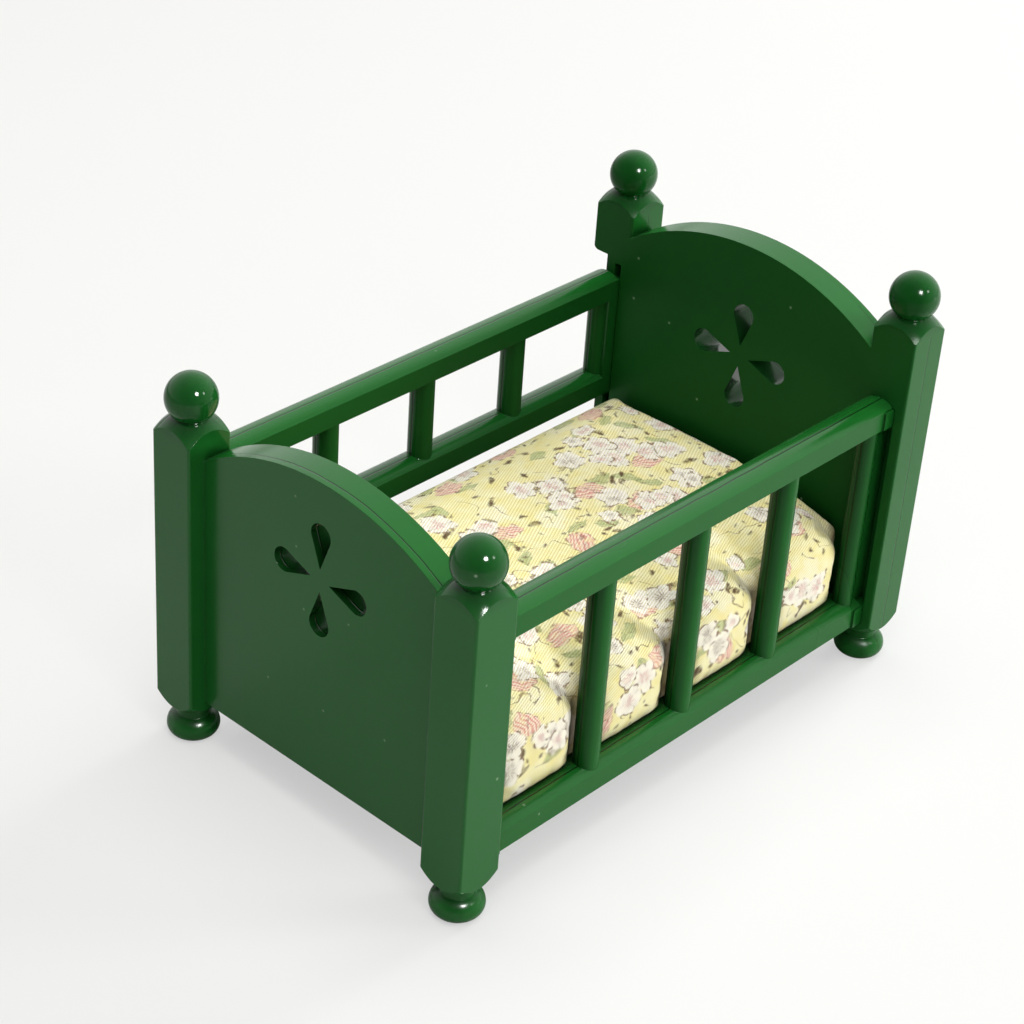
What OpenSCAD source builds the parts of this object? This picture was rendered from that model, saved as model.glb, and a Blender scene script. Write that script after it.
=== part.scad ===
// Miniature drop-side crib: two moulded ends, a fixed side, a sliding side,
// a bed base and a stuffed mattress.  Millimetres.
// X runs along the bed with the head at +X, Y across it with the sliding side
// at +Y, and Z up.  The origin is on the ground, under the middle of the bed.

/* [Bed] */
// Length of the bed between the centres of its posts
bed_len = 77.8; // [70:0.2:110]
// Width of the bed between the centres of its posts
bed_wid = 46.2; // [38:0.1:64]

/* [Posts] */
// Side of the square posts
post_w = 6.5; // [6.3:0.1:8]
// Rounding of a post's upright edges
post_edge_r = 0.35; // [0.2:0.05:0.8]
// Height of the head posts' shoulders above the ground
head_post_h = 48.95; // [46:0.05:64]
// Height of the foot posts' shoulders above the ground
foot_post_h = 43.45; // [38:0.05:46]
// Height of the turned shoulder on a post
dome_h = 2.35; // [1.8:0.05:3]
// How far the turned shoulder bulges past a straight cone
dome_bulge = 0.12; // [0.08:0.01:0.4]

/* [Turned ends] */
// Diameter of the ball finials
ball_d = 6.45; // [5:0.05:8]
// Height of a ball's centre above the top of its turned shoulder
ball_lift = 2.3; // [1.5:0.05:2.5]
// Diameter of the neck under a ball and over a foot
neck_d = 4.4; // [3.6:0.1:5]
// Height above the ground of a post's square bottom edge and of panels and sides
foot_h = 6.55; // [5.8:0.05:9]
// Largest diameter of a bun foot
foot_d = 6.7; // [5.6:0.1:8]
// Radius of a bun foot's rim above its widest part
foot_rim_r = 1.9; // [1.5:0.05:2.4]
// Radius of a bun foot's rim below its widest part
foot_heel_r = 1.45; // [1:0.05:1.8]

/* [End panels] */
// Thickness of an end panel
panel_t = 4.2; // [3.4:0.1:6]
// Radius of the arched top
arch_r = 34.8; // [30:0.2:60]
// Height of the head panel's arch above its posts' shoulders
head_arch_rise = 3.5; // [1:0.1:6]
// Height of the foot panel's arch above its posts' shoulders
foot_arch_rise = 4.1; // [1:0.1:6]

/* [Cut-out] */
// Distance from the arch's crown down to the middle of the cut-out, on the foot panel
foot_cut_drop = 13; // [11:0.5:18]
// Distance from the arch's crown down to the middle of the cut-out, on the head panel
head_cut_drop = 15.9; // [11:0.1:22]
// Distance from the cut-out's middle to the pointed end of a petal
petal_tip = 1.5; // [1:0.1:3]
// Distance from the cut-out's middle to the round end of a petal
petal_reach = 7.6; // [6:0.1:9]
// Width of a petal
petal_w = 3.2; // [1.5:0.1:4]

/* [Sides] */
// Depth of a rail, across the bed
rail_t = 3.9; // [3.4:0.1:5]
// Height of a rail at its edges
rail_h = 2.75; // [2:0.05:4]
// Height of a rail's rounded crown above its edges
rail_crown = 0.7; // [0.3:0.05:1]
// Diameter of the spindles
spindle_d = 3.3; // [2.4:0.1:3.4]
// Number of spindles between a side's stiles
spindle_count = 3; // [2:1:5]
// Diameter of the stiles, which are the outermost spindles
stile_d = 2.65; // [2:0.05:3.2]
// Distance from a post's inner face to the middle of the stile beside it
stile_inset = 1.65; // [1.4:0.05:2.4]
// Distance from a foot post's shoulder down to the top edge of the sides
side_drop = 4; // [3.8:0.1:8]
// Setback of the fixed side behind its posts' outer faces
fixed_inset = 1.8; // [1.4:0.1:2.2]
// Setback of the sliding side behind its posts' outer faces
slide_inset = 1.1; // [0.5:0.05:1.3]
// Height of the sliding side at its edges
slide_h = 17.5; // [14:0.1:24]

/* [Joints] */
// Depth of the grooves in the posts
groove_depth = 1.9; // [1.5:0.1:2.4]
// Wall that a post keeps outside the fixed side's groove
groove_wall = 1.4; // [1:0.1:1.5]
// Clearance round the fixed side's tenons
press_gap = 0.1; // [0.05:0.01:0.12]
// Thickness of the flange that joins the fixed side's stiles to the posts
flange_t = 1.6; // [1:0.1:1.9]
// Thickness of the sliding side's tongues
tongue_t = 0.85; // [0.7:0.05:1]
// Clearance of the sliding side in its slots
slide_gap = 0.15; // [0.1:0.01:0.2]
// Lip of the post outside the sliding side's slot
slot_lip = 1.1; // [0.9:0.05:1.3]
// How far the sliding side can rise from where it stands
lift_travel = 2; // [1.2:0.1:2]
// Floor left under the sliding side's slots
slot_floor = 0.7; // [0.5:0.1:2]
// Material left between the slots' tops and the recesses beside them
recess_rise = 0.8; // [0.5:0.1:1.2]
// Height of the square block under the recesses
recess_foot = 3.2; // [2:0.1:6]
// Rounding of the corners where the recesses meet the posts' outer faces
recess_r = 1; // [0.4:0.1:1.2]

/* [Bed base] */
// Thickness of the bed base
base_t = 1.6; // [1.2:0.1:2.4]
// Height of the bed base above the lower edge of the end panels
base_lift = 0.8; // [0.5:0.1:3]
// Clearance between the bed base and what stands round it
base_gap = 0.15; // [0.1:0.05:0.3]
// Width of the lugs that hold the base in the end panels
lug_w = 6; // [4:0.5:10]
// Length of the lugs
lug_len = 1.5; // [1:0.1:2.5]
// Distance of the lugs from the middle of the bed
lug_y = 12; // [6:0.5:13]

/* [Mattress] */
// Thickness of the mattress at its edges
mattress_t = 12.8; // [10:0.2:16]
// Height of the mattress's crown above its edges
mattress_crown = 0.8; // [0.3:0.1:1.5]
// Gap between the mattress and the panels and fixed side
mattress_gap = 0.25; // [0.2:0.05:0.6]
// Gap between the mattress and the sliding side
mattress_slide_gap = 0.75; // [0.5:0.05:1.2]
// Rounding of the mattress's corners and edges
mattress_r = 2; // [1.2:0.1:3]
// How far the mattress swells out between the fixed side's spindles
swell = 1.7; // [0.8:0.1:1.8]
// Gap between the swelled parts and the spindles beside them
swell_gap = 0.6; // [0.4:0.1:1.5]
// Thickness of the mattress's fabric cover
fabric_t = 0.35; // [0.3:0.05:0.6]
// How far the cover's edges are turned in under the mattress
cover_tuck = 7; // [3:0.5:12]

/* [Hidden] */
$fn = 96;
// How far cutting and trimming shapes run past what they cut
past = 1;
// Overlap of shapes that only meet, so that they join
eps = 0.01;

half_w = post_w / 2;
axis_x = bed_len / 2;
axis_y = bed_wid / 2;
inner_x = axis_x - half_w;
outer_y = axis_y + half_w;
frame_bottom = foot_h;
side_top = foot_post_h - side_drop;

corner_r = half_w * sqrt(2);
neck_r = neck_d / 2;
// Extra radius that keeps the trimming cylinder outside a post's square corners
post_slack = 0.1;
// How near to a petal's round end its straight sides stop
petal_seat = 0.99;

stile_x = inner_x - stile_inset;
spindle_pitch = 2 * stile_x / (spindle_count + 1);
rail_end_x = inner_x;
fixed_out = -outer_y + fixed_inset;
fixed_in = fixed_out + rail_t;
fixed_mid = fixed_out + rail_t / 2;
slide_out = outer_y - slide_inset;
slide_in = slide_out - rail_t;
slide_mid = slide_out - rail_t / 2;
slide_bottom = side_top - slide_h;

// Distance from the fixed side's inner face to its groove
groove_setback = 1;
groove_out = -outer_y + groove_wall;
groove_in = fixed_in - groove_setback;
tenon_x = inner_x + groove_depth - press_gap;
tenon_out = groove_out + press_gap;
tenon_in = groove_in - press_gap;
groove_top = side_top - press_gap;
tenon_top = groove_top - press_gap;
tenon_bottom = frame_bottom;

tongue_out = slide_in + tongue_t;
slot_in = slide_in - slide_gap;
slot_out = tongue_out + slide_gap;
slot_bottom = frame_bottom + slot_floor;
slot_top = side_top + lift_travel + slide_gap;
recess_y = slot_out + slot_lip;
recess_top = slot_top + recess_rise;
recess_bottom = frame_bottom + recess_foot;

rail_top = frame_bottom + rail_h + rail_crown;
base_z = frame_bottom + base_lift;
base_x = inner_x - base_gap;
base_y0 = fixed_in + base_gap;
base_y1 = slide_in - base_gap - slide_gap;

mattress_z = base_z + base_t;
mattress_x = inner_x - mattress_gap;
mattress_y0 = fixed_in + mattress_gap;
mattress_y1 = slide_in - mattress_slide_gap;
swell_half = (spindle_pitch - spindle_d) / 2 - swell_gap;
swell_r = (swell_half * swell_half + swell * swell) / (2 * swell);
// How deep the swelled parts are rooted in the mattress
swell_root = 1;
// How far the mattress's end section stands above its crown
crown_clear = 0.2;

plastic_green = "#1f5a2b";
base_green = "#1d5528";
fabric_yellow = "#e8dc9c";
foam_cream = "#efe9d6";

// Lays a flat shape, drawn as [Y, Z], so that it stands across the bed and
// runs the given length towards +X.
module along_x(len) {
    rotate([90, 0, 90]) linear_extrude(len) children();
}

// Lays a flat shape, drawn as [X, Z], so that it stands along the bed and
// runs the given length towards +Y.
module along_y(len) {
    translate([0, len, 0]) rotate([90, 0, 0]) linear_extrude(len) children();
}

// Block between two opposite corners.
module block(low, high) {
    translate(low) cube(high - low);
}

// Rectangle with rounded corners, from its low corner to its high corner.
module rounded_rect(low, high, r) {
    translate([low.x + r, low.y]) square([high.x - low.x - 2 * r, high.y - low.y]);
    translate([low.x, low.y + r]) square([high.x - low.x, high.y - low.y - 2 * r]);
    for (x = [low.x + r, high.x - r], y = [low.y + r, high.y - r])
        translate([x, y]) circle(r);
}

// ---- Posts ----

// Half outline of a turned shoulder: a shallow outward arc from the post's
// corner radius at the bottom to the neck's radius at the top.
module dome_outline() {
    run = corner_r - neck_r;
    chord = sqrt(run * run + dome_h * dome_h);
    arc_r = (chord * chord / 4 + dome_bulge * dome_bulge) / (2 * dome_bulge);
    back = arc_r - dome_bulge;
    intersection() {
        square([corner_r, dome_h]);
        translate([corner_r - run / 2 - back * dome_h / chord, dome_h / 2 - back * run / chord])
            circle(arc_r);
    }
}

// Square post with both ends turned down to a neck.
module turned_post(shoulder_z) {
    intersection() {
        translate([0, 0, foot_h - dome_h])
            linear_extrude(shoulder_z - foot_h + 2 * dome_h)
                rounded_rect([-half_w, -half_w], [half_w, half_w], post_edge_r);
        union() {
            translate([0, 0, shoulder_z]) rotate_extrude() dome_outline();
            translate([0, 0, foot_h]) cylinder(r = corner_r + post_slack, h = shoulder_z - foot_h);
            translate([0, 0, foot_h]) mirror([0, 0, 1]) rotate_extrude() dome_outline();
        }
    }
}

// Bun foot: a disc with a round rim, fuller above its widest part than below,
// and flat where it stands.
module bun_foot() {
    rotate_extrude() {
        intersection() {
            translate([0, foot_heel_r]) square([foot_d / 2, foot_rim_r]);
            translate([foot_d / 2 - foot_rim_r, foot_heel_r]) circle(foot_rim_r);
        }
        intersection() {
            square([foot_d / 2, foot_heel_r]);
            union() {
                translate([foot_d / 2 - foot_heel_r, foot_heel_r]) circle(foot_heel_r);
                square([foot_d / 2 - foot_heel_r, foot_heel_r]);
            }
        }
    }
    cylinder(r = neck_r, h = foot_h - dome_h + eps);
}

// Whole post, from its bun foot to its ball finial.
module post(shoulder_z) {
    turned_post(shoulder_z);
    bun_foot();
    translate([0, 0, shoulder_z + dome_h + ball_lift]) sphere(d = ball_d);
    translate([0, 0, shoulder_z + dome_h - eps]) cylinder(r = neck_r, h = ball_lift);
}

// ---- End panels ----

// One petal of the cut-out: a teardrop along +X with its tip nearest the
// middle.  Its straight sides end just inside its round end.
module petal() {
    r = petal_w / 2;
    centre = petal_reach - r;
    lean = asin(r / (centre - petal_tip));
    side_end = petal_seat * r * [-sin(lean), cos(lean)];
    translate([centre, 0]) {
        circle(r);
        polygon([[petal_tip - centre, 0], side_end, [side_end.x, -side_end.y]]);
    }
}

// Arched panel with four petals cut through it, drawn as [Y, Z].
module panel_outline(arch_top, cut_z) {
    difference() {
        intersection() {
            translate([-axis_y, frame_bottom]) square([bed_wid, arch_top - frame_bottom]);
            translate([0, arch_top - arch_r]) circle(arch_r, $fn = 360);
        }
        for (turn = [0 : 90 : 270])
            translate([0, cut_z]) rotate(turn) petal();
    }
}

// Groove in the near post for the fixed side, open towards the bed.
module fixed_groove() {
    block([-half_w - past, groove_out, frame_bottom - press_gap],
        [-half_w + groove_depth, groove_in, groove_top]);
}

// Slot in the far post for the sliding side's tongue, and the recess that
// leaves a narrow lip outside it.
module slide_slot() {
    block([-half_w - past, slot_in, slot_bottom],
        [-half_w + groove_depth, slot_out, slot_top]);
    translate([-half_w - past, 0, 0]) along_x(half_w + past) {
        translate([recess_y, recess_bottom])
            square([outer_y - recess_y + past, recess_top - recess_bottom]);
        for (edge = [[recess_bottom, -1], [recess_top, 1]])
            recess_corner(edge[0], edge[1]);
    }
}

// Rounding where a recess meets the post's outer face, drawn as [Y, Z].
module recess_corner(z, way) {
    difference() {
        translate([outer_y - recess_r, way > 0 ? z - eps : z - recess_r])
            square([recess_r + past, recess_r + eps]);
        translate([outer_y - recess_r, z + way * recess_r]) circle(recess_r);
    }
}

// Pockets for the bed base's lugs.
module lug_pockets() {
    for (side = [-1, 1])
        block([-half_w - past, side * lug_y - lug_w / 2 - base_gap, base_z - base_gap],
            [-half_w + lug_len + base_gap, side * lug_y + lug_w / 2 + base_gap,
                base_z + base_t + base_gap]);
}

// One end of the bed, moulded in one piece, with its outside towards +X.
module bed_end(shoulder_z, arch_rise, cut_drop) {
    arch_top = shoulder_z + arch_rise;
    difference() {
        union() {
            for (y = [-axis_y, axis_y])
                translate([0, y, 0]) post(shoulder_z);
            translate([-half_w, 0, 0]) along_x(panel_t)
                panel_outline(arch_top, arch_top - cut_drop);
        }
        fixed_groove();
        slide_slot();
        lug_pockets();
    }
}

module head_end() {
    color(plastic_green) translate([axis_x, 0, 0])
        bed_end(head_post_h, head_arch_rise, head_cut_drop);
}

module foot_end() {
    color(plastic_green) mirror([1, 0, 0]) translate([axis_x, 0, 0])
        bed_end(foot_post_h, foot_arch_rise, foot_cut_drop);
}

// ---- Sides ----

// Section of a rail, drawn as [Y, Z] round the middle of its lower face.
module rail_section() {
    half_t = rail_t / 2;
    crown_r = (half_t * half_t + rail_crown * rail_crown) / (2 * rail_crown);
    intersection() {
        translate([-half_t, 0]) square([rail_t, rail_h + rail_crown]);
        union() {
            translate([0, rail_h + rail_crown - crown_r]) circle(crown_r);
            translate([-half_t, 0]) square([rail_t, rail_h]);
        }
    }
}

// Railing: a top and a bottom rail, its spindles and its stiles.
// The top edge of its top rail is at top_z and its lower face at bottom_z.
module railing(y, bottom_z, top_z, half_len) {
    for (z = [bottom_z, top_z - rail_h])
        translate([-half_len, y, z]) along_x(2 * half_len) rail_section();
    upright_z = bottom_z + rail_h / 2;
    upright_h = top_z - rail_h / 2 - upright_z;
    for (i = [0 : spindle_count - 1])
        translate([(i - (spindle_count - 1) / 2) * spindle_pitch, y, upright_z])
            cylinder(d = spindle_d, h = upright_h);
    for (x = [-stile_x, stile_x])
        translate([x, y, upright_z]) cylinder(d = stile_d, h = upright_h);
}

// Fixed side: its rails end in tenons and its stiles in flanges, all pressed
// into the near posts' grooves.
module fixed_side() {
    color(plastic_green) {
        railing(fixed_mid, frame_bottom, side_top, rail_end_x - press_gap / 2);
        for (x = [0, 1]) mirror([x, 0, 0]) {
            block([stile_x, tenon_out, tenon_bottom],
                [tenon_x, tenon_in, frame_bottom + rail_h - press_gap]);
            block([stile_x, tenon_out, side_top - rail_h + press_gap],
                [tenon_x, tenon_in, tenon_top]);
            block([stile_x, tenon_in - flange_t, tenon_bottom],
                [tenon_x, tenon_in, tenon_top]);
        }
    }
}

// Sliding side: a shorter railing with a thin tongue down each end.
module drop_side() {
    color(plastic_green) {
        railing(slide_mid, slide_bottom, side_top, rail_end_x - slide_gap);
        for (x = [0, 1]) mirror([x, 0, 0])
            block([stile_x, slide_in, slide_bottom],
                [inner_x + groove_depth - slide_gap, tongue_out, side_top]);
    }
}

// ---- Bed base and mattress ----

// Flat base with two lugs at each end.
module bed_base() {
    color(base_green) {
        block([-base_x, base_y0, base_z], [base_x, base_y1, mattress_z]);
        for (x = [0, 1], y = [-lug_y, lug_y]) mirror([x, 0, 0])
            block([base_x - past, y - lug_w / 2, base_z],
                [inner_x + lug_len, y + lug_w / 2, mattress_z]);
    }
}

// Section across the mattress, drawn as [Y, Z]: flat below, rounded at its
// corners and slightly crowned on top.
module crowned_outline(low, high, r) {
    half = (high.x - low.x) / 2 - r;
    crown_r = (half * half + mattress_crown * mattress_crown) / (2 * mattress_crown);
    rounded_rect(low, high, r);
    intersection() {
        translate([low.x + r, low.y + r]) square([2 * half, high.y + mattress_crown - low.y]);
        translate([low.x + r + half, high.y + mattress_crown - crown_r]) circle(crown_r, $fn = 720);
    }
}

// Plan of the parts that swell out between the fixed side's spindles.
module swell_outline(in) {
    for (i = [0 : spindle_count])
        translate([(i - spindle_count / 2) * spindle_pitch, mattress_y0 - swell]) intersection() {
            translate([0, swell_r]) circle(swell_r - in);
            translate([-spindle_pitch / 2, 0]) square([spindle_pitch, swell + swell_root]);
        }
}

// The mattress's form, drawn in by the given amount on every side: a rounded
// block that swells out between the fixed side's spindles, above its rail.
module mattress_form(in) {
    low = [-mattress_x + in, mattress_y0 + in, mattress_z + in];
    high = [mattress_x - in, mattress_y1 - in, mattress_z + mattress_t - in];
    r = mattress_r - in;
    tall = mattress_t + 2 * mattress_crown;
    swell_z = max(mattress_z, rail_top + mattress_gap) + in;
    intersection() {
        translate([0, low.y - swell - past, 0]) along_y(high.y - low.y + swell + 2 * past)
            rounded_rect([low.x, low.z], [high.x, high.z + mattress_crown + crown_clear], r);
        translate([low.x - past, 0, 0]) along_x(high.x - low.x + 2 * past)
            crowned_outline([low.y - swell, low.z], [high.y, high.z], r);
        union() {
            translate([0, 0, mattress_z - past]) linear_extrude(tall + past)
                rounded_rect([low.x, low.y], [high.x, high.y], r);
            translate([0, 0, swell_z]) linear_extrude(tall) swell_outline(in);
        }
    }
}

// Cover: wrapped over the top and sides, with its edges turned in underneath.
module mattress_cover() {
    color(fabric_yellow) difference() {
        mattress_form(0);
        mattress_form(fabric_t);
        block([-mattress_x + cover_tuck, mattress_y0 + cover_tuck, mattress_z - past],
            [mattress_x - cover_tuck, mattress_y1 - cover_tuck, mattress_z + 2 * fabric_t]);
    }
}

module mattress_foam() {
    color(foam_cream) mattress_form(fabric_t);
}

head_end();
foot_end();
fixed_side();
drop_side();
bed_base();
mattress_foam();
mattress_cover();
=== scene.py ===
"""Looks of the miniature drop-side crib: moulded plastic bed, printed cotton mattress.

Metres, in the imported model's frame: X along the bed with the head at +X, Y across it
with the sliding side at +Y, Z up from the ground. Named sizes are in millimetres.
"""
import math

import bmesh
import bpy
from mathutils import Matrix, Vector


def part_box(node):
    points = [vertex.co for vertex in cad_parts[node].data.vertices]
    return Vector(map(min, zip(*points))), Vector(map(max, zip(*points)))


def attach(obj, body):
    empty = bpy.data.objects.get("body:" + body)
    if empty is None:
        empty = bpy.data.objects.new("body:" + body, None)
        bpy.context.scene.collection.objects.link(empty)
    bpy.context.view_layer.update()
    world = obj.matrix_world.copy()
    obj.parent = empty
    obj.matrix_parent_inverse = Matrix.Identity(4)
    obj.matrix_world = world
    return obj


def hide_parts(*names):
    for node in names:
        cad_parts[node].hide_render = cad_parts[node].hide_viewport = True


MM = 0.001
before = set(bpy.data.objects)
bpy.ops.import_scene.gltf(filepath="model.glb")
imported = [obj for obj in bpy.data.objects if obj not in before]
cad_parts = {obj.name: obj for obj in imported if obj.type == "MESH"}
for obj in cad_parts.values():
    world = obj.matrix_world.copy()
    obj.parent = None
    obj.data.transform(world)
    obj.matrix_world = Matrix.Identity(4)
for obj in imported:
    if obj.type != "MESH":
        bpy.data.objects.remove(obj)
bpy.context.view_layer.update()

# ---- Sizes and places, from the frame where it has them ----
side_low, side_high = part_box("fixed_side")
slide_low, slide_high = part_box("drop_side")
pad_low, pad_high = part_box("mattress_cover")

# Moulded bed
EDGE_ROUND = 0.10           # moulded edges, outer and inner
CREVICE = 2.4               # how wide a gap still gets painted shade inside
PARTING_X = 38.9            # the ends' two mould halves meet on this plane
POST_INNER = 19.4           # the posts lie further out across the bed than this
FLOWER_HALF = 9.0           # and the cut-out flower lies nearer its middle than this
KNOB_FOOT = 43.5            # height where the posts' knobs begin, at the foot
KNOB_BLEND = 1.5            # how far up their finer polish reaches its full
HEAD_RISE = 5.5             # how much higher the knobs are at the head
FOOT_PANEL = 30.0           # the foot's panel lies further along the bed than this
ABOVE_ALL = 99.0            # a height above the whole bed
SPINDLE_PITCH = 17.0        # between the spindles' middles
SPINDLE_COUNT = 3
SPINDLES = [(i - (SPINDLE_COUNT - 1) / 2) * SPINDLE_PITCH for i in range(SPINDLE_COUNT)]
SPINDLE_RADIUS = 1.65
STILE_MIDDLE = 34.0         # the sides' end stiles: their middle along the bed
STILE_INNER = 32.68         # and their inner face
SIDE_INNER = round(-side_high.y / MM, 2)            # the near side's inner face, from the middle
RAIL_HALF = 1.95            # half the width of its bottom rail
RAIL_MIDDLE = round(SIDE_INNER + RAIL_HALF, 2)      # and the rail's middle, from the bed's middle
RAIL_EDGE = 9.3             # height of the rail's upper edges
RAIL_CROWN = 10.0           # and of its rounded top

# Cloth
RIB_SPACING = 0.39          # between the twill's ribs
RIB_TURN = 26.0             # degrees between the ribs and the bed's length
THREAD_SPACING = 0.45       # between the threads that cross them
FOLD = 3.0                  # how wide a fold in the cloth still gets painted shade inside

# Pad
BLOCK_SHRINK = 0.25         # the block that it is made of is this much smaller, all round
BLOCK_ROUND = 0.9           # rounding of the block's edges
CLOTH_CELL = 0.7            # between the points of its even mesh
SKIN = 0.5                  # between the cover's outside and the wadding
FRONT_ROUND = 3.2           # rounding of the pad's near upper edge
CORNER_ROUND = 1.8          # rounding of its near corner at the head
SWELL = 1.7                 # how far the pad swells out between the spindles
SWELL_START = 0.8           # how far from a spindle most of that is reached
SWELL_FIRST = 0.85          # the share that is reached there
SWELL_DEPTH = 2.6           # how far inward from the near face the swelling fades
SWELL_LIMIT = SWELL * 1.15  # how far filling may bring it
ROD_ROOM = 1.75             # from a spindle's middle to the cloth pressed against it
STILE_ROOM = 1.42           # and from a stile's
RAIL_GAP = 0.06             # between the rail's top and the cloth lying on it
RAIL_TOUCH = 0.05           # cloth lower over the rail than this is held behind the rail,
RAIL_CLEAR = 0.1            # this far from its inner face
HEM = 0.8                   # how much of the near face's foot lies down on the rail
CROWN = 0.8                 # how much higher the pad is in its middle
BACK_RISE = 1.4             # how much higher it is along the far side than along the near one
UPPER = 6.0                 # how far down from the top these rises fade
VALLEY = 2.0                # depth of the fold that each spindle presses in the pad's top
VALLEY_WIDTH = 2.3          # how far along the bed the fold fades, to either side
VALLEY_LENGTH = 8.0         # how far inward it fades
BACK_SWELL = 0.4            # how far the pad may swell out along the far side

# Filling
SIM_SCALE = 20.0            # the pad is filled this much larger than it is
SIM_STEPS = 20
FILL_LIMIT = 0.7            # how far filling may move the cloth
HELD_BESIDE = 0.3           # the cloth nearer to a spindle than this is held there,
HELD_DEPTH = 3.0            # as far inward as this,
HELD_LOW = 1.4              # and so is the cloth below this height above the base,
HELD_END = 0.3              # and this much of the ends,
HELD_BELOW_TOP = 5.0        # except this much at the top

# ---- Colours ----
GREEN = "#165C20"           # the moulded plastic
GREEN_DEEP = "#14551C"
BASE_GREEN = "#134F18"      # the hidden base's
BASE_GREEN_DEEP = "#114815"
GROUND = "#F2E9A8"          # the printed cloth's yellow
GROUND_WORN = "#F7F3CA"


def linear(hex_colour):
    """An sRGB hex colour as linear RGBA."""
    parts = [int(hex_colour[i:i + 2], 16) / 255 for i in (1, 3, 5)]
    return [c / 12.92 if c <= 0.04045 else ((c + 0.055) / 1.055) ** 2.4 for c in parts] + [1.0]


def add(tree, kind, inputs=(), **settings):
    """Adds a shader node with its settings; inputs are values, nodes or sockets, by place or name."""
    made = tree.nodes.new("ShaderNode" + kind)
    for key, value in settings.items():
        setattr(made, key, value)
    for key, value in inputs.items() if isinstance(inputs, dict) else enumerate(inputs):
        if isinstance(value, bpy.types.Node):
            value = value.outputs[0]
        if isinstance(value, bpy.types.NodeSocket):
            tree.links.new(value, made.inputs[key])
        else:
            made.inputs[key].default_value = value
    return made


def new_material(name):
    """An empty node material and its tree."""
    material = bpy.data.materials.new(name)
    material.use_nodes = True
    material.node_tree.nodes.clear()
    return material, material.node_tree


def finish_surface(tree, shader):
    """Ends a material's tree in its surface output."""
    add(tree, "OutputMaterial", {"Surface": shader})


def paint(tree, below, colour, strength, *covers):
    """Prints a colour over what is below, this strongly where all of the covers are."""
    share = strength
    for cover in covers:
        share = add(tree, "Math", [cover, share], operation="MULTIPLY", use_clamp=True)
    under, top = (linear(ink) if isinstance(ink, str) else ink for ink in (below, colour))
    return add(tree, "Mix", {0: share, 6: under, 7: top}, data_type="RGBA").outputs[2]


# ---- Materials ----

def shade_and_polish_regions(tree, part, normal, axis):
    """Where the plastic's finish differs and where shade is painted: the faces toward the bed, the knobs and
    the cut-outs.
    """
    way_out = add(tree, "Math", [part.outputs[axis]], operation="SIGN")
    way_out = add(tree, "Math", [way_out, normal.outputs[axis]], operation="MULTIPLY")
    inner = add(tree, "MapRange", [way_out, -0.7, -0.3, 1.0, 0.0])

    raised = add(tree, "MapRange", [part.outputs["X"], -MM, MM, 0.0, HEAD_RISE * MM])
    height = add(tree, "Math", [part.outputs["Z"], raised], operation="SUBTRACT")
    aside = add(tree, "Math", [part.outputs["Y"]], operation="ABSOLUTE")
    knob = add(tree, "MapRange", [height, KNOB_FOOT * MM, (KNOB_FOOT + KNOB_BLEND) * MM, 0.0, 1.0])
    on_post = add(tree, "Math", [aside, POST_INNER * MM], operation="GREATER_THAN")
    knob = add(tree, "Math", [knob, on_post], operation="MULTIPLY")

    middle = add(tree, "Math", [aside, FLOWER_HALF * MM], operation="LESS_THAN")
    upright = add(tree, "Math", [normal.outputs[axis]], operation="ABSOLUTE")
    upright = add(tree, "Math", [upright, 0.3], operation="LESS_THAN")
    below = add(tree, "Math", [height, KNOB_FOOT * MM], operation="LESS_THAN")
    cut_out = (middle, upright, below)
    return inner, knob, cut_out, height, aside


def dust(tree, spot):
    """Where dust lies: small specks, about 0.1 mm wide."""
    speck = add(tree, "TexVoronoi", {"Vector": spot, "Scale": 700.0, "Randomness": 1.0})
    rare = add(tree, "SeparateColor", [speck.outputs["Color"]])
    small = add(tree, "MapRange", [speck.outputs["Distance"], 0.05, 0.18, 1.0, 0.0])
    chosen = add(tree, "Math", [rare.outputs["Red"], 0.992], operation="GREATER_THAN")
    return small, chosen


def parting_line(tree, spot, part, parting, seam, height, aside):
    """Where the mould halves met: a fine line, unevenly trimmed, on the posts, rails and foot's arch."""
    axis, place, top = parting
    gap = add(tree, "Math", [part.outputs[axis]], operation="ABSOLUTE")
    gap = add(tree, "Math", [gap, abs(place) * MM], operation="SUBTRACT")
    trim = add(tree, "TexNoise", {"Vector": spot, "Scale": 260.0, "Detail": 2.0})
    trim = add(tree, "Math", [trim, 0.5], operation="SUBTRACT")
    gap = add(tree, "Math", [trim, 0.25 * MM, gap], operation="MULTIPLY_ADD")
    gap = add(tree, "Math", [gap], operation="ABSOLUTE")
    line = add(tree, "MapRange", [gap, 0.04 * MM, 0.14 * MM, 1.0, 0.0])

    low = add(tree, "Math", [height, top * MM], operation="LESS_THAN")
    shade = add(tree, "MapRange", [part.outputs["X"], -MM, MM, *seam])
    low = add(tree, "Math", [low, shade], operation="MULTIPLY")
    panel = add(tree, "Math", [aside, POST_INNER * MM], operation="LESS_THAN")
    arch = add(tree, "Math", [part.outputs["X"], -FOOT_PANEL * MM], operation="LESS_THAN")
    arch = add(tree, "Math", [arch, panel], operation="MULTIPLY")
    arch = add(tree, "Math", [arch, 0.9], operation="MULTIPLY")
    shown = add(tree, "Math", [low, arch], operation="MAXIMUM")
    return add(tree, "Math", [line, shown], operation="MULTIPLY")


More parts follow.
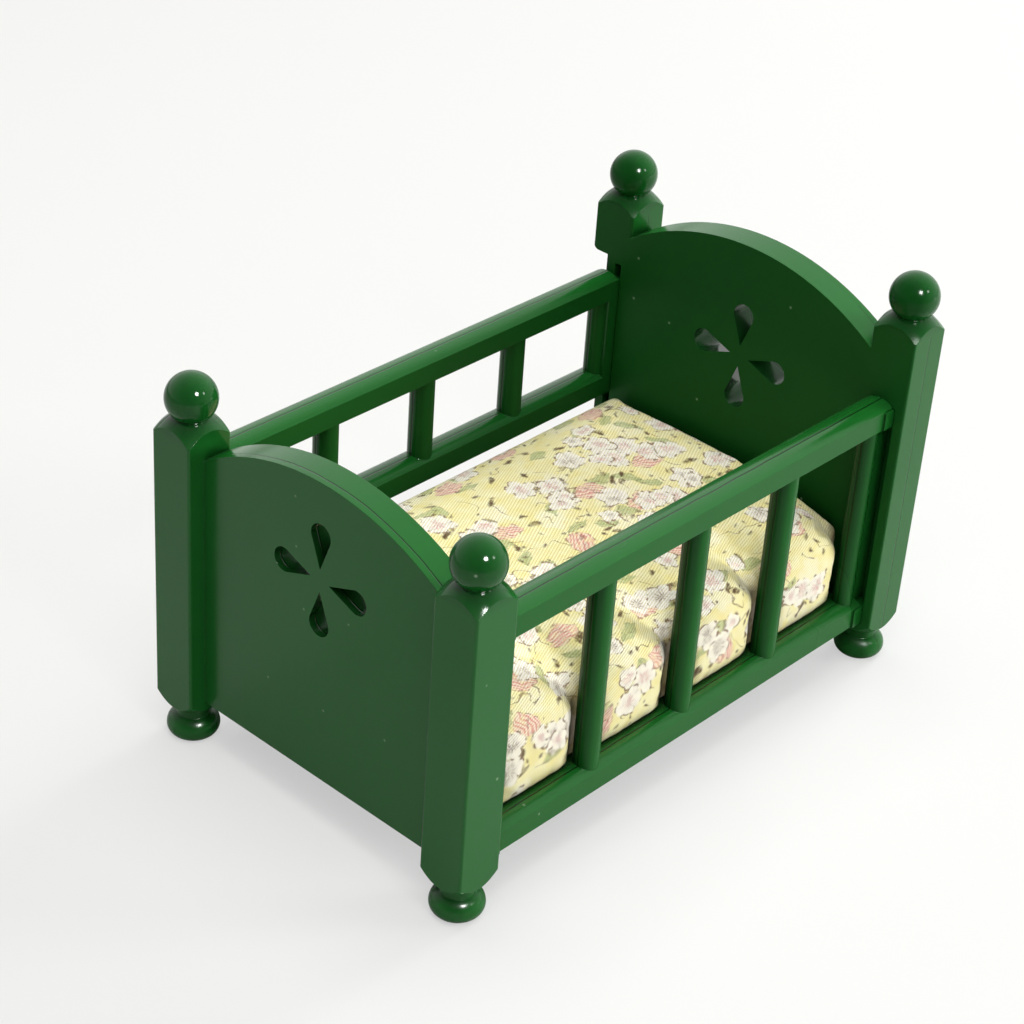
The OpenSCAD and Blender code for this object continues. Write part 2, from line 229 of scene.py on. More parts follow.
def moulded_polystyrene(name, parting, seam, roughness=0.20, shine=(0.24, 0.30), foot_end_shade=0.0,
                        colours=(GREEN, GREEN_DEEP)):
    """Polystyrene from a polished mould: glossy, with a faint ripple, fine dust and a parting line, and
    painted shade.

    parting is (axis, place, top) in mm: the line's plane, and how high it shows on the posts.
    seam is how dark the line is there, at the foot and at the head. shine is the gloss of the
    sides and of the tops, and foot_end_shade how dark the shade painted on the faces toward the foot end is.
    """
    material, tree = new_material(name)
    spot = add(tree, "TexCoord").outputs["Object"]
    part = add(tree, "SeparateXYZ", [spot])
    normal = add(tree, "SeparateXYZ", [add(tree, "TexCoord").outputs["Normal"]])
    cloud = add(tree, "TexNoise", {"Vector": spot, "Scale": 60.0, "Detail": 3.0})
    tint = paint(tree, *colours, 1.0, cloud)

    # The faces toward the bed get painted shade and are the mould's duller half, and the knobs get painted
    # shade and are the most polished
    inner, knob, cut_out, height, aside = shade_and_polish_regions(tree, part, normal, parting[0])
    # Painted shade: the faces toward the bed are darkened as though little light reaches them
    tint = paint(tree, tint, "#083209", 0.40, inner)
    # Painted shade: faces toward the foot end are darkened as though they lay in its shade
    painted_foot_end_shade_mask = add(tree, "MapRange", [normal.outputs["X"], -0.95, -0.45, foot_end_shade, 0.0])
    tint = paint(tree, tint, "#041E06", 1.0, painted_foot_end_shade_mask)
    # Painted shade: the knobs are darkened to tone down their lit tops
    tint = paint(tree, tint, "#0B3A14", 0.45, knob)
    # Painted shade: the cut-out flower's walls are painted nearly black, as deep shade
    tint = paint(tree, tint, "#031505", 0.72, *cut_out)

    # Deep corners and cut-outs get painted shade, as little light reaches them
    open_air = add(tree, "AmbientOcclusion", {"Distance": CREVICE * MM}, samples=6)
    painted_hollow_shade = add(tree, "MapRange", [open_air.outputs["AO"], 0.15, 0.60, 0.60, 0.0])
    tint = paint(tree, tint, "#06260A", 1.0, painted_hollow_shade)
    tint = paint(tree, tint, "#A9C2A6", 0.4, *dust(tree, spot))
    line = parting_line(tree, spot, part, parting, seam, height, aside)
    tint = paint(tree, tint, "#062008", 1.0, line)

    ripple = add(tree, "TexNoise", {"Vector": spot, "Scale": 420.0, "Detail": 2.0})
    wave = add(tree, "TexNoise", {"Vector": spot, "Scale": 45.0, "Detail": 1.0})
    edges = add(tree, "Bevel", {"Radius": EDGE_ROUND * MM}, samples=6)
    swell = add(tree, "Bump", {"Strength": 0.25, "Distance": 0.4 * MM, "Height": wave, "Normal": edges})
    fine = add(tree, "Bump", {"Strength": 0.06, "Distance": 0.05 * MM, "Height": ripple, "Normal": swell})
    ridge = add(tree, "Bump", {"Strength": 0.5, "Distance": 0.06 * MM, "Height": line, "Normal": fine},
                invert=True)
    rubbed = add(tree, "MapRange", [wave, 0.3, 0.7, roughness - 0.03, roughness + 0.06])
    rubbed = add(tree, "Math", [inner, 0.25, rubbed], operation="MULTIPLY_ADD")
    polish = add(tree, "MapRange", [knob, 0.0, 1.0, 1.0, 0.4])
    rubbed = add(tree, "Math", [rubbed, polish], operation="MULTIPLY")
    gloss = add(tree, "MapRange", [normal.outputs["Z"], 0.5, 0.8, *shine])
    dulled = add(tree, "MapRange", [inner, 0.0, 1.0, 1.0, 0.3])
    gloss = add(tree, "Math", [gloss, dulled], operation="MULTIPLY")
    shader = add(tree, "BsdfPrincipled", {
        "Base Color": tint, "Roughness": rubbed, "IOR": 1.5, "Specular IOR Level": gloss, "Normal": ridge})
    finish_surface(tree, shader)
    return material


def scatter(tree, cloth, cell, shift, randomness=0.7):
    """One place in each cell of the cloth, in mm: the local position, and random values of the cell."""
    moved = add(tree, "VectorMath", [cloth, shift], operation="ADD")
    cells = add(tree, "TexVoronoi", {"Vector": moved, "Scale": 1.0 / cell, "Randomness": randomness},
                voronoi_dimensions="2D")
    local = add(tree, "VectorMath", [moved, cells.outputs["Position"]], operation="SUBTRACT")
    chance = add(tree, "SeparateColor", [cells.outputs["Color"]])
    turn = add(tree, "Math", [chance.outputs["Red"], 2 * math.pi], operation="MULTIPLY")
    turned = add(tree, "VectorRotate", {"Vector": local, "Angle": turn}, rotation_type="Z_AXIS")
    return turned, chance


def blossom(tree, local, middle, size, petals=5):
    """A small open flower of this radius: its cover, its edge, its shaded throat and its heart."""
    at = add(tree, "VectorMath", [local, (*middle, 0.0)], operation="SUBTRACT")
    part = add(tree, "SeparateXYZ", [at])
    angle = add(tree, "Math", [part.outputs["Y"], part.outputs["X"]], operation="ARCTAN2")
    away = add(tree, "VectorMath", [at], operation="LENGTH").outputs["Value"]
    lobe = add(tree, "Math", [angle, petals / 2], operation="MULTIPLY")
    lobe = add(tree, "Math", [lobe], operation="COSINE")
    lobe = add(tree, "Math", [lobe], operation="ABSOLUTE")
    lobe = add(tree, "Math", [lobe, 0.5], operation="POWER")
    rim = add(tree, "Math", [lobe, 0.34 * size, 0.66 * size], operation="MULTIPLY_ADD")
    inside = add(tree, "Math", [rim, away], operation="SUBTRACT")
    cover = add(tree, "MapRange", [inside, -0.24, 0.20, 0.0, 1.0])
    edge = add(tree, "MapRange", [add(tree, "Math", [inside], operation="ABSOLUTE"), 0.06, 0.26, 1.0, 0.0])
    cleft = add(tree, "MapRange", [lobe, 0.35, 0.80, 1.0, 0.0])
    deep = add(tree, "MapRange", [away, 0.25 * size, 1.0 * size, 1.0, 0.0])
    throat = add(tree, "Math", [cleft, deep], operation="MAXIMUM")
    spokes = add(tree, "Math", [angle, petals * 2.0], operation="MULTIPLY")
    spokes = add(tree, "Math", [spokes], operation="SINE")
    spokes = add(tree, "MapRange", [spokes, -0.3, 0.5, 0.0, 1.0])
    core = add(tree, "MapRange", [away, 0.28 * size, 0.52 * size, 1.0, 0.0])
    heart = add(tree, "Math", [spokes, core], operation="MULTIPLY")
    return cover, edge, throat, heart


def bud(tree, local, middle, length, width):
    """A pointed oval, such as a leaf or a bud: its cover, its edge and the rib along its middle."""
    at = add(tree, "VectorMath", [local, (*middle, 0.0)], operation="SUBTRACT")
    part = add(tree, "SeparateXYZ", [at])
    along = add(tree, "Math", [part.outputs["X"], 2 / length], operation="MULTIPLY")
    square = add(tree, "Math", [along, along], operation="MULTIPLY")
    half = add(tree, "Math", [square, -width / 2, width / 2], operation="MULTIPLY_ADD")
    across = add(tree, "Math", [part.outputs["Y"]], operation="ABSOLUTE")
    inside = add(tree, "Math", [half, across], operation="SUBTRACT")
    cover = add(tree, "MapRange", [inside, -0.16, 0.20, 0.0, 1.0])
    edge = add(tree, "MapRange", [add(tree, "Math", [inside], operation="ABSOLUTE"), 0.06, 0.24, 1.0, 0.0])
    rib = add(tree, "MapRange", [across, 0.05, 0.14, 1.0, 0.0])
    rib = add(tree, "Math", [rib, cover], operation="MULTIPLY")
    return cover, edge, rib


def twill_weave(tree, plain):
    """The height of the cloth's ribs and threads, and of the threads alone."""
    slant = math.radians(RIB_TURN)
    across = add(tree, "VectorMath", [plain, (math.sin(slant), -math.cos(slant), 0.0)],
                 operation="DOT_PRODUCT").outputs["Value"]
    along = add(tree, "VectorMath", [plain, (math.cos(slant), math.sin(slant), 0.0)],
                operation="DOT_PRODUCT").outputs["Value"]
    phase = add(tree, "Math", [across, 2 * math.pi / RIB_SPACING], operation="MULTIPLY")
    rib_wave = add(tree, "Math", [phase], operation="SINE")
    stagger = add(tree, "Math", [along, 2 * math.pi / THREAD_SPACING, phase], operation="MULTIPLY_ADD")
    thread = add(tree, "Math", [stagger], operation="SINE")
    return add(tree, "Math", [thread, 0.35, rib_wave], operation="MULTIPLY_ADD"), thread


def print_leaves(tree, colour, cloth, broken, streak, patch):
    """Sage leaves, hatched and soft at the edge."""
    for shift, cell, length, width in (((0.0, 0.0, 0.0), 8.4, 4.4, 1.9), ((11.3, 5.9, 0.0), 9.0, 3.4, 1.5)):
        local, chance = scatter(tree, cloth, cell, shift)
        cover, edge, rib = bud(tree, local, (0.3, 0.2), length, width)
        shown = add(tree, "Math", [chance.outputs["Green"], 0.25], operation="GREATER_THAN")
        hatched = paint(tree, "#9DAE70", "#C9D09C", 1.0, streak)
        colour = paint(tree, colour, hatched, 0.85, cover, shown, patch)
        colour = paint(tree, colour, "#6E7440", 0.5, edge, shown, broken)
        colour = paint(tree, colour, "#77853F", 0.5, rib, shown, streak)
    return colour


def print_twigs(tree, colour, cloth, patch):
    """Thin brown twigs: broken pieces of a wandering line."""
    wander = add(tree, "TexNoise", {"Vector": cloth, "Scale": 0.19, "Detail": 1.0}, noise_dimensions="2D")
    off = add(tree, "Math", [wander, 0.5], operation="SUBTRACT")
    off = add(tree, "Math", [off], operation="ABSOLUTE")
    twig = add(tree, "MapRange", [off, 0.003, 0.012, 1.0, 0.0])
    pieces = add(tree, "TexNoise", {"Vector": cloth, "Scale": 0.30, "Detail": 0.0}, noise_dimensions="2D")
    pieces = add(tree, "MapRange", [pieces, 0.52, 0.55, 0.0, 1.0])
    return paint(tree, colour, "#7C6036", 0.8, twig, pieces, patch)


def print_seeds(tree, colour, cloth, patch):
    """Dark, pointed seeds, and smaller dots in little groups."""
    for cell, shift, limit, length, width in ((4.6, (2.2, 7.7, 0.0), 0.22, 1.9, 0.8),
                                              (3.3, (4.8, 3.3, 0.0), 0.45, 0.9, 0.55),
                                              (2.6, (9.8, 1.3, 0.0), 0.62, 0.7, 0.35)):
        local, chance = scatter(tree, cloth, cell, shift, 1.0)
        cover = bud(tree, local, (0.0, 0.0), length, width)[0]
        shown = add(tree, "Math", [chance.outputs["Green"], limit], operation="GREATER_THAN")
        colour = paint(tree, colour, "#573D1E", 0.95, cover, shown, patch)
    return colour


def print_rosebuds(tree, colour, cloth, broken, patch):
    """Rosebuds: pink with darker folds."""
    local = scatter(tree, cloth, 12.0, (5.3, 9.1, 0.0))[0]
    folds = add(tree, "TexWave", {"Vector": local, "Scale": 0.55, "Distortion": 4.0, "Detail": 2.0},
                wave_type="RINGS")
    folds = add(tree, "MapRange", [folds, 0.35, 0.85, 0.0, 1.0])
    pink = paint(tree, "#F6DDD0", "#E2A199", 1.0, folds)
    for middle, length, width in (((0.0, 0.0), 4.4, 3.4), ((1.0, 0.9), 3.0, 2.2)):
        cover, edge = bud(tree, local, middle, length, width)[:2]
        colour = paint(tree, colour, pink, 0.9, cover, patch)
        colour = paint(tree, colour, "#8C5C46", 0.6, edge, broken)
    return colour


def print_flowers(tree, colour, cloth, broken, streak, patch):
    """White flowers, some in pairs, with broken brown edges and rosy or brown hearts."""
    for shift, cell, flowers in (
            ((0.0, 0.0, 0.0), 12.5, (((-1.7, -0.2), 2.3), ((1.7, 0.7), 2.15))),
            ((23.7, 14.1, 0.0), 10.5, (((0.0, 0.0), 2.3),)),
            ((41.3, 33.9, 0.0), 9.0, (((0.0, 0.0), 1.6),))):
        local, chance = scatter(tree, cloth, cell, shift, 0.75)
        chosen = add(tree, "Math", [chance.outputs["Blue"], 0.4], operation="GREATER_THAN")
        rosy = paint(tree, "#8E7A5E", "#DDA09A", 1.0, chosen)
        shown = add(tree, "Math", [chance.outputs["Green"], 0.18], operation="GREATER_THAN")
        for middle, size in flowers:
            cover, edge, throat, heart = blossom(tree, local, middle, size)
            colour = paint(tree, colour, "#FCF9F2", 0.97, cover, shown)
            colour = paint(tree, colour, "#D6CFCB", 0.6, throat, streak, cover, shown)
            colour = paint(tree, colour, rosy, 0.75, heart, patch, cover, shown)
            colour = paint(tree, colour, "#84663A", 0.9, edge, broken, shown)
    return colour


def printed_twill():
    """Cotton twill with a small all-over flower print: matt, ribbed on the slant, ink broken by the ribs."""
    material, tree = new_material("printed_cotton_twill")
    uv = add(tree, "UVMap", uv_map="cloth")
    plain = add(tree, "VectorMath", [uv, (1 / MM, 1 / MM, 0.0)], operation="MULTIPLY")
    weave, thread = twill_weave(tree, plain)

    # The print's edges wander with the weave, and its ink is patchy
    drift = add(tree, "TexNoise", {"Vector": plain, "Scale": 0.40, "Detail": 1.0}, noise_dimensions="2D")
    drift = add(tree, "VectorMath", [drift.outputs["Color"], (0.5, 0.5, 0.5)], operation="SUBTRACT")
    cloth = add(tree, "VectorMath", [drift, (1.6, 1.6, 0.0), plain], operation="MULTIPLY_ADD")
    spread = add(tree, "CombineXYZ", [weave, thread])
    cloth = add(tree, "VectorMath", [spread, (0.035, 0.035, 0.0), cloth], operation="MULTIPLY_ADD")
    grain = add(tree, "TexNoise", {"Vector": plain, "Scale": 1.1, "Detail": 2.0}, noise_dimensions="2D")
    broken = add(tree, "MapRange", [grain, 0.47, 0.59, 0.0, 1.0])
    streak = add(tree, "MapRange", [grain, 0.38, 0.62, 0.0, 1.0])
    patch = add(tree, "MapRange", [grain, 0.30, 0.55, 0.55, 1.0])

    # Yellow ground, unevenly worn, with pale, faded blossoms far back in the print
    wash = add(tree, "TexNoise", {"Vector": plain, "Scale": 0.5, "Detail": 4.0}, noise_dimensions="2D")
    wash = add(tree, "MapRange", [wash, 0.30, 0.70, 0.0, 1.0])
    colour = paint(tree, GROUND, GROUND_WORN, 1.0, wash)
    local = scatter(tree, cloth, 9.0, (3.1, 1.7, 0.0))[0]
    faded = blossom(tree, local, (0.4, 0.0), 2.2)[0]
    colour = paint(tree, colour, "#F9F6E2", 0.6, faded, patch)

    colour = print_leaves(tree, colour, cloth, broken, streak, patch)
    colour = print_twigs(tree, colour, cloth, patch)
    colour = print_seeds(tree, colour, cloth, patch)
    colour = print_rosebuds(tree, colour, cloth, broken, patch)
    colour = print_flowers(tree, colour, cloth, broken, streak, patch)

    # The ribs get a painted highlight and the furrows between them painted shade
    risen = add(tree, "MapRange", [weave, -1.2, 0.6, 0.0, 1.0])
    rib_highlight_and_furrow_shade = paint(tree, "#E2DABE", "#FDFDFA", 1.0, risen)
    print_with_painted_light = add(tree, "VectorMath", [colour, rib_highlight_and_furrow_shade], operation="MULTIPLY").outputs["Vector"]

    # Deep folds, and the cloth behind the spindles, get painted brownish shade
    open_air = add(tree, "AmbientOcclusion", {"Distance": FOLD * MM}, samples=6)
    painted_hollow_shade = add(tree, "MapRange", [open_air.outputs["AO"], 0.30, 0.85, 0.92, 0.0])
    print_with_painted_light = paint(tree, print_with_painted_light, "#4E3E1C", 1.0, painted_hollow_shade)

    bump = add(tree, "Bump", {"Strength": 0.5, "Distance": 0.06 * MM, "Height": weave})
    pucker = add(tree, "TexNoise", {"Vector": plain, "Scale": 0.25, "Detail": 2.0}, noise_dimensions="2D")
    soft = add(tree, "Bump", {"Strength": 0.25, "Distance": 0.8 * MM, "Height": pucker, "Normal": bump})
    shader = add(tree, "BsdfPrincipled", {
        "Base Color": print_with_painted_light, "Roughness": 0.88, "Sheen Weight": 0.15, "Sheen Roughness": 0.5,
        "Specular IOR Level": 0.25, "Normal": soft})
    finish_surface(tree, shader)
    return material


def polyester_wadding():
    """Polyester wadding: off-white, matt and fibrous."""
    material, tree = new_material("polyester_wadding")
    spot = add(tree, "TexCoord").outputs["Object"]
    fibre = add(tree, "TexNoise", {"Vector": spot, "Scale": 900.0, "Detail": 6.0, "Distortion": 2.0})
    tint = paint(tree, "#DDD8CC", "#F4F1E8", 1.0, fibre)
    bump = add(tree, "Bump", {"Strength": 0.5, "Distance": 0.2 * MM, "Height": fibre})
    shader = add(tree, "BsdfPrincipled", {
        "Base Color": tint, "Roughness": 0.95, "Sheen Weight": 0.3, "Normal": bump})
    finish_surface(tree, shader)
    return material


# ---- Moulded bed ----

def dress_bed():
    """Gives the moulded pieces their materials; their form is already right."""
    side_middle = (side_low.y + side_high.y) / 2 / MM
    slide_middle = (slide_low.y + slide_high.y) / 2 / MM
    ends = moulded_polystyrene("moulded_polystyrene_ends", ("X", PARTING_X, KNOB_FOOT), (0.0, 0.4))
    fixed = moulded_polystyrene("moulded_polystyrene_fixed_side", ("Y", side_middle, ABOVE_ALL),
                                (0.9, 0.9), roughness=0.22, shine=(0.14, 0.46), foot_end_shade=0.5)
    sliding = moulded_polystyrene("moulded_polystyrene_drop_side", ("Y", slide_middle, ABOVE_ALL),
                                  (0.9, 0.9), shine=(0.16, 0.38), foot_end_shade=0.35)
    base = moulded_polystyrene("moulded_polystyrene_base", ("X", PARTING_X, ABOVE_ALL), (0.0, 0.0),
                               roughness=0.35, colours=(BASE_GREEN, BASE_GREEN_DEEP))
    finishes = {"head_end": ends, "foot_end": ends, "fixed_side": fixed, "drop_side": sliding,
                "bed_base": base}
    for node, material in finishes.items():
        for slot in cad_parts[node].material_slots:
            slot.material = material


# ---- Mattress ----

def new_piece(name, bm, material):
    """A piece of the object from a finished bmesh, shaded smooth except at its sharp edges."""
    mesh = bpy.data.meshes.new(name)
    for face in bm.faces:
        face.smooth = True
    for edge in bm.edges:
        edge.smooth = edge.is_manifold and edge.calc_face_angle() < math.radians(40)
    bm.to_mesh(mesh)
    bm.free()
    mesh.materials.append(material)
    piece = bpy.data.objects.new(name, mesh)
    bpy.context.scene.collection.objects.link(piece)
    return piece


def pad_block():
    """The pad before it is filled: a block with its edges eased, a little smaller than the pad."""
    low = pad_low + Vector((BLOCK_SHRINK, SWELL + BLOCK_SHRINK, 0)) * MM
    high = pad_high - Vector((BLOCK_SHRINK, BLOCK_SHRINK, CROWN + BLOCK_SHRINK)) * MM
    bm = bmesh.new()
    bmesh.ops.create_cube(bm, size=1.0)
    bmesh.ops.scale(bm, vec=high - low, verts=bm.verts)
    bmesh.ops.translate(bm, vec=(low + high) / 2, verts=bm.verts)
    bmesh.ops.bevel(bm, geom=bm.edges[:], offset=BLOCK_ROUND * MM, segments=3, profile=0.5,
                    affect="EDGES", material=-1)
    bmesh.ops.triangulate(bm, faces=bm.faces)
    return bm


def apply_modifiers(piece):
    """Makes the piece's modifiers its mesh."""
    graph = bpy.context.evaluated_depsgraph_get()
    mesh = bpy.data.meshes.new_from_object(piece.evaluated_get(graph))
    old = piece.data
    piece.modifiers.clear()
    piece.data = mesh
    bpy.data.meshes.remove(old)


def to_spindle(x):
    """How far along the bed a place is from the nearest spindle's or end stile's face, in metres."""
    nearest = min(abs(x - spindle * MM) for spindle in SPINDLES) - SPINDLE_RADIUS * MM
    return min(nearest, STILE_INNER * MM - abs(x))


def room_at(x):
    """How far out the pad may come at this place along the near side, between and behind the rods."""
    limit = -(SIDE_INNER + SWELL_LIMIT) * MM
    rods = [(spindle, ROD_ROOM) for spindle in SPINDLES]
    rods += [(-STILE_MIDDLE, STILE_ROOM), (STILE_MIDDLE, STILE_ROOM)]
    for middle, room in rods:
        aside = x / MM - middle
        if abs(aside) < room:
            limit = max(limit, (-RAIL_MIDDLE + math.sqrt(room ** 2 - aside ** 2)) * MM)
        elif room == STILE_ROOM and abs(x / MM) > STILE_MIDDLE:
            limit = max(limit, (-RAIL_MIDDLE + room) * MM)
    return limit


def quarter(share):
    """Rises from 0 to 1 like a quarter circle."""
    share = min(1.0, max(0.0, share))
    return math.sqrt(1 - (1 - share) ** 2)


def eased(depth_a, depth_b, radius):
    """Depths of a place below two faces that meet at an edge, moved in where the edge is rounded."""
    a = radius - depth_a
    b = radius - depth_b
    reach = math.hypot(a, b)
    if a <= 0 or b <= 0 or reach <= radius:
        return depth_a, depth_b
    return radius - a * radius / reach, radius - b * radius / reach


def rail_top(y):
    """The height of the near side's bottom rail's rounded top, in metres."""
    across = (y / MM + RAIL_MIDDLE) / RAIL_HALF
    return (RAIL_EDGE + (RAIL_CROWN - RAIL_EDGE) * max(0.0, 1 - across ** 2)) * MM


def shape_pad(cover):
    """Rounds the pad's edges, and pushes it out between the spindles, down onto the bottom rail."""
    points = cover.data.vertices
    front = min(v.co.y for v in points)
    back = max(v.co.y for v in points)
    top = max(v.co.z for v in points)
    end = max(v.co.x for v in points)
    for vertex in points:
        x, y, z = vertex.co
        in_front, below = eased(y - front, top - z, FRONT_ROUND * MM)
        y = front + in_front
        z = top - below
        if x > 0:
            in_front, inside = eased(y - front, end - x, CORNER_ROUND * MM)
            y = front + in_front
            x = end - inside

        # Out between the spindles, and down on the bottom rail
        face = to_spindle(x)
        out = SWELL_FIRST * quarter(face / (SWELL_START * MM))
        out += (1 - SWELL_FIRST) * quarter(face / (SPINDLE_PITCH / 2 * MM))
        near = math.exp(-((y - front) / (SWELL_DEPTH * MM)) ** 2)
        swollen = max(y - SWELL * MM * out * near, room_at(x))
        rail = rail_top(swollen) + RAIL_GAP * MM
        if z > rail:
            if near > 0.5 and z < rail + HEM * MM:
                z = rail
            y = min(y, swollen)

        # Higher in the middle and toward the far side, with a soft valley at each spindle
        upper = min(1.0, max(0.0, (z - top + UPPER * MM) / (UPPER * MM)))
        across = (2 * y - front - back) / (back - front)
        z += CROWN * MM * (1 - across ** 2) * upper
        z += BACK_RISE * MM * (y - front) / (back - front) * upper
        valley = math.exp(-(max(0.0, face + SWELL_START * MM) / (VALLEY_WIDTH * MM)) ** 2)
        valley *= math.exp(-(max(0.0, y - front) / (VALLEY_LENGTH * MM)) ** 2)
        z -= VALLEY * MM * valley * upper
        vertex.co = x, y, z


def fill_pad(cover):
    """Fills the pad: a cloth simulation, run large, presses it out against what holds it."""
    start = [v.co.copy() for v in cover.data.vertices]
    front = min(place.y for place in start)
    end = max(place.x for place in start)
    held = cover.vertex_groups.new(name="held")
    for vertex, place in zip(cover.data.vertices, start):
        vertex.co *= SIM_SCALE
        at_spindle = place.y < front + HELD_DEPTH * MM and to_spindle(place.x) < HELD_BESIDE * MM
        low_down = place.z < pad_low.z + HELD_LOW * MM
        at_end = abs(place.x) > end - HELD_END * MM and place.z < pad_high.z - HELD_BELOW_TOP * MM
        if at_spindle or low_down or at_end:
            held.add([vertex.index], 1.0, "REPLACE")
    cloth = cover.modifiers.new("filling", "CLOTH")
    cloth.settings.quality = 6
    cloth.settings.vertex_group_mass = "held"
    cloth.settings.use_pressure = True
    cloth.settings.uniform_pressure_force = 4.0
    cloth.settings.shrink_min = -0.025
    cloth.settings.bending_stiffness = 0.3
    cloth.settings.effector_weights.gravity = 0.0
    cloth.collision_settings.use_collision = False
    for step in range(1, SIM_STEPS + 1):
        bpy.context.scene.frame_set(step)
    apply_modifiers(cover)
    bpy.context.scene.frame_set(1)
    for vertex, place in zip(cover.data.vertices, start):
        move = vertex.co / SIM_SCALE - place
        move *= min(1.0, FILL_LIMIT * MM / max(move.length, 1e-9))
        vertex.co = place + move


def keep_clear(cover):
    """Holds the pad back from the rail, the spindles and the ends."""
    for vertex in cover.data.vertices:
        x, y, z = vertex.co
        y = max(y, room_at(x))
        if y < -SIDE_INNER * MM and z < rail_top(y) + RAIL_TOUCH * MM:
            y = max(y, -(SIDE_INNER - RAIL_CLEAR) * MM)
        y = min(y, pad_high.y + BACK_SWELL * MM)
        vertex.co = max(pad_low.x, min(pad_high.x, x)), y, max(z, pad_low.z)


def lay_cloth(cover):
    """Maps the cloth as it is wrapped: over the top and down each side, in metres."""
    layer = cover.data.uv_layers.new(name="cloth")
    top = max(v.co.z for v in cover.data.vertices)
    middle = (pad_low + pad_high) / 2
    reach = (pad_high - pad_low) / 2
    for face in cover.data.polygons:
        to_end = reach.x - abs(face.center.x - middle.x)
        to_side = reach.y - abs(face.center.y - middle.y)
        for loop in face.loop_indices:
            place = cover.data.vertices[cover.data.loops[loop].vertex_index].co
            drop = top - place.z
            if to_end < to_side:
                layer.data[loop].uv = (place.x + math.copysign(drop, place.x), place.y)
            else:
                layer.data[loop].uv = (place.x, place.y + math.copysign(drop, place.y - middle.y))


def make_cover():
    """The printed cover: a block of even cloth, shaped, filled and smoothed."""
    cover = new_piece("mattress_fabric", pad_block(), printed_twill())
    remesh = cover.modifiers.new("even_cloth", "REMESH")
    remesh.mode = "VOXEL"
    remesh.voxel_size = CLOTH_CELL * MM
    apply_modifiers(cover)
    shape_pad(cover)
    fill_pad(cover)
    keep_clear(cover)
    return cover


def make_mattress():
    """The mattress: its cover, filled by simulation, and the wadding inside."""
    cover = make_cover()
    inner = bmesh.new()
    inner.from_mesh(cover.data)
    smooth = cover.modifiers.new("smooth_cloth", "SUBSURF")
    smooth.levels = 1
    smooth.render_levels = 1
    apply_modifiers(cover)
    keep_clear(cover)
    lay_cloth(cover)
    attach(cover, "frame")
    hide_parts("mattress_cover")

    inner.normal_update()
    for vertex in inner.verts:
        vertex.co -= vertex.normal * SKIN * MM
    stuffing = new_piece("mattress_wadding", inner, polyester_wadding())
    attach(stuffing, "frame")
    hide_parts("mattress_foam")


# ---- Stage ----

# Lamps: the way to each from the bed, its distance and diameter in metres, its power in watts,
# and which rays meet it: those that light the bed, those that mirror the lamp, or all
LAMPS = {
    "overhead": ((0.05, 0.10, 1.00), 0.80, 0.60, 4.7, "lighting"),
    "right": ((0.85, 0.00, 0.53), 0.80, 0.40, 4.0, "lighting"),
    "front_right": ((0.70, -0.70, 0.18), 0.80, 0.25, 4.6, "lighting"),
    "front_left": ((-0.35, -0.35, 0.87), 0.80, 0.50, 2.6, "lighting"),
    "camera_lamp": ((-0.225, -0.70, 0.69), 0.45, 0.055, 0.16, "all"),
    "camera_lamp_rim": ((-0.225, -0.70, 0.69), 0.46, 0.11, 3.2, "mirrored"),
    "second_lamp": ((0.42, -1.10, 0.80), 0.50, 0.08, 0.22, "mirrored"),
}
TO_DARK_SIDE = (-0.62, -0.52, 0.59)     # the unlit end of the room, where the camera stands
ROOM_DARK = 0.20            # how bright the room looks in the plastic at that end
ROOM_BRIGHT = 1.15          # and at the other
FLOOR_PAPER = "#E6E6E4"
FLOOR_MIRRORED = "#D0D2CE"  # the paper as the plastic mirrors it
FLOOR_SEEN = "#959592"      # the paper as the camera sees it, with its own white added
FLOOR_GLOW = 0.54


def make_floor():
    """A plain pale floor, which keeps the bed's shadow."""
    bm = bmesh.new()
    bmesh.ops.create_grid(bm, x_segments=1, y_segments=1, size=3.0)
    mesh = bpy.data.meshes.new("floor")
    bm.to_mesh(mesh)
    bm.free()
    floor = bpy.data.objects.new("floor", mesh)
    bpy.context.scene.collection.objects.link(floor)
    material, tree = new_material("white_paper")
    path = add(tree, "LightPath")
    camera = path.outputs["Is Camera Ray"]
    paper = paint(tree, FLOOR_PAPER, FLOOR_MIRRORED, 1.0, path.outputs["Is Glossy Ray"])
    paper = paint(tree, paper, FLOOR_SEEN, 1.0, camera)
    matt = add(tree, "BsdfDiffuse", {"Color": paper})
    away = add(tree, "VectorMath", [add(tree, "TexCoord").outputs["Object"]], operation="LENGTH")
    glow = add(tree, "MapRange", [away.outputs["Value"], 0.3, 0.8, FLOOR_GLOW, 1.0])
    glow = add(tree, "Math", [camera, glow], operation="MULTIPLY")
    white = add(tree, "Emission", {"Color": linear("#FFFFFF"), "Strength": glow})
    finish_surface(tree, add(tree, "AddShader", [matt, white]))
    mesh.materials.append(material)


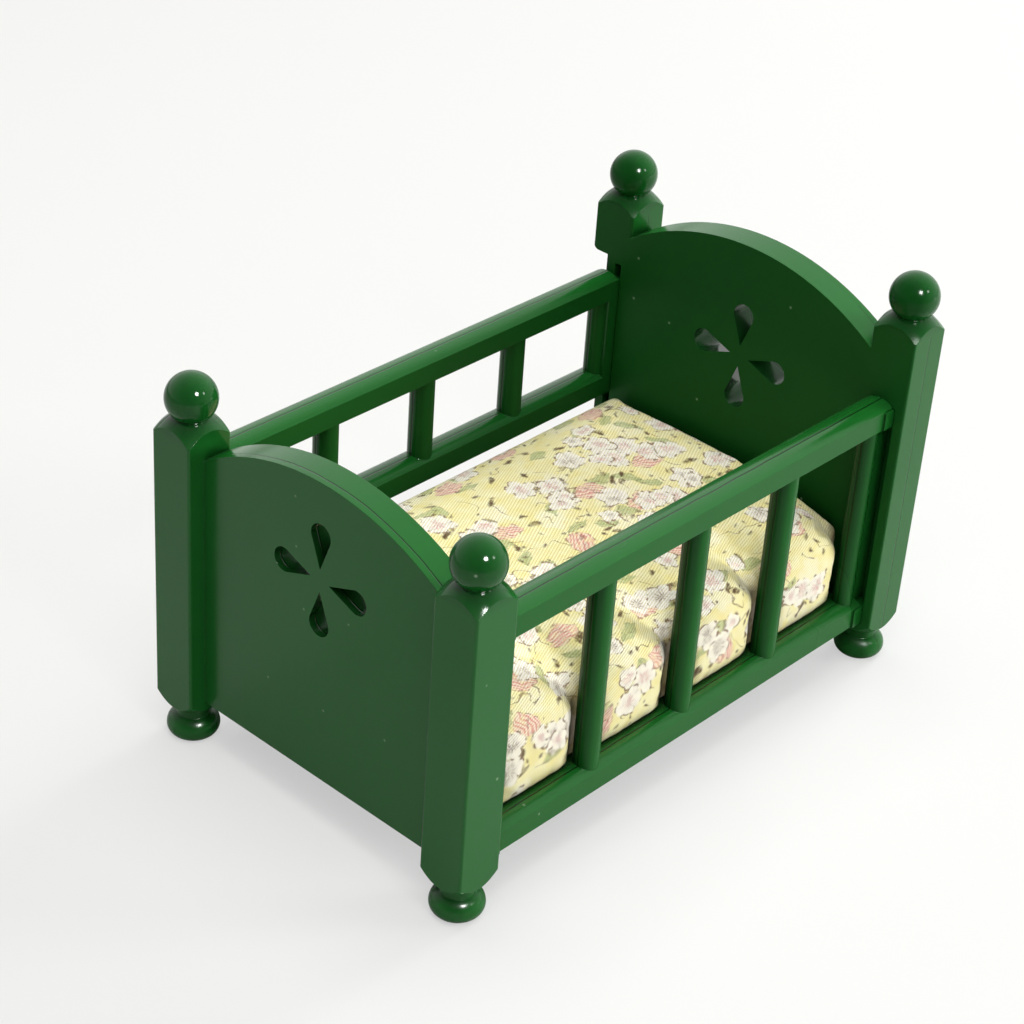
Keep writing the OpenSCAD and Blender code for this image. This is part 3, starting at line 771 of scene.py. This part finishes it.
def make_room():
    """The room round the bed: white where the camera sees it, and lit from one end in the plastic."""
    world = bpy.data.worlds.new("soft_room")
    world.use_nodes = True
    bpy.context.scene.world = world
    tree = world.node_tree
    tree.nodes.clear()
    path = add(tree, "LightPath")
    way = add(tree, "TexCoord").outputs["Generated"]
    facing = add(tree, "VectorMath", [way, TO_DARK_SIDE], operation="DOT_PRODUCT").outputs["Value"]
    room = add(tree, "MapRange", {"Value": facing, "From Min": -0.2, "From Max": 0.9,
                                  "To Min": ROOM_BRIGHT, "To Max": ROOM_DARK})
    mirrored = add(tree, "Math", [path.outputs["Is Glossy Ray"], room], operation="MULTIPLY")
    seen = add(tree, "Math", [path.outputs["Is Camera Ray"], mirrored], operation="MAXIMUM")
    back = add(tree, "Background", {"Color": linear("#FFFFFF"), "Strength": seen})
    add(tree, "OutputWorld", {"Surface": back})


def make_lamps():
    """Soft lamps round the bed, and a small one beside the camera."""
    aim = Vector((0, 0, 25)) * MM
    for name, (way, distance, size, power, rays) in LAMPS.items():
        light = bpy.data.lights.new(name, "AREA")
        light.shape = "DISK"
        light.size = size
        light.energy = power
        lamp = bpy.data.objects.new(name, light)
        lamp.location = aim + Vector(way).normalized() * distance
        lamp.rotation_mode = "QUATERNION"
        lamp.rotation_quaternion = (lamp.location - aim).to_track_quat("Z", "Y")
        lamp.visible_glossy = rays != "lighting"
        lamp.visible_diffuse = rays != "mirrored"
        bpy.context.scene.collection.objects.link(lamp)


# The camera's place and the point that it looks at, in mm, its turn in degrees and its lens
CAMERA_PLACE = (-205.57, -171.90, 195.22)
CAMERA_AIM = (-1.22, 5.52, 25.0)
CAMERA_TURN = 4.155
CAMERA_LENS = 89.02


def make_camera():
    """The camera, above the foot end's near corner and turned a little on its side."""
    place = Vector(CAMERA_PLACE) * MM
    aim = Vector(CAMERA_AIM) * MM
    level = (aim - place).to_track_quat("-Z", "Y").to_matrix()
    turned = level @ Matrix.Rotation(math.radians(CAMERA_TURN), 3, "Z")
    data = bpy.data.cameras.new("camera")
    data.lens = CAMERA_LENS
    data.sensor_width = 36.0
    data.clip_start = 10 * MM
    camera = bpy.data.objects.new("camera", data)
    camera.matrix_world = Matrix.Translation(place) @ turned.to_4x4()
    bpy.context.scene.collection.objects.link(camera)
    bpy.context.scene.camera = camera


dress_bed()
make_mattress()
make_floor()
make_room()
make_lamps()
make_camera()
bpy.context.scene.view_settings.view_transform = "Standard"
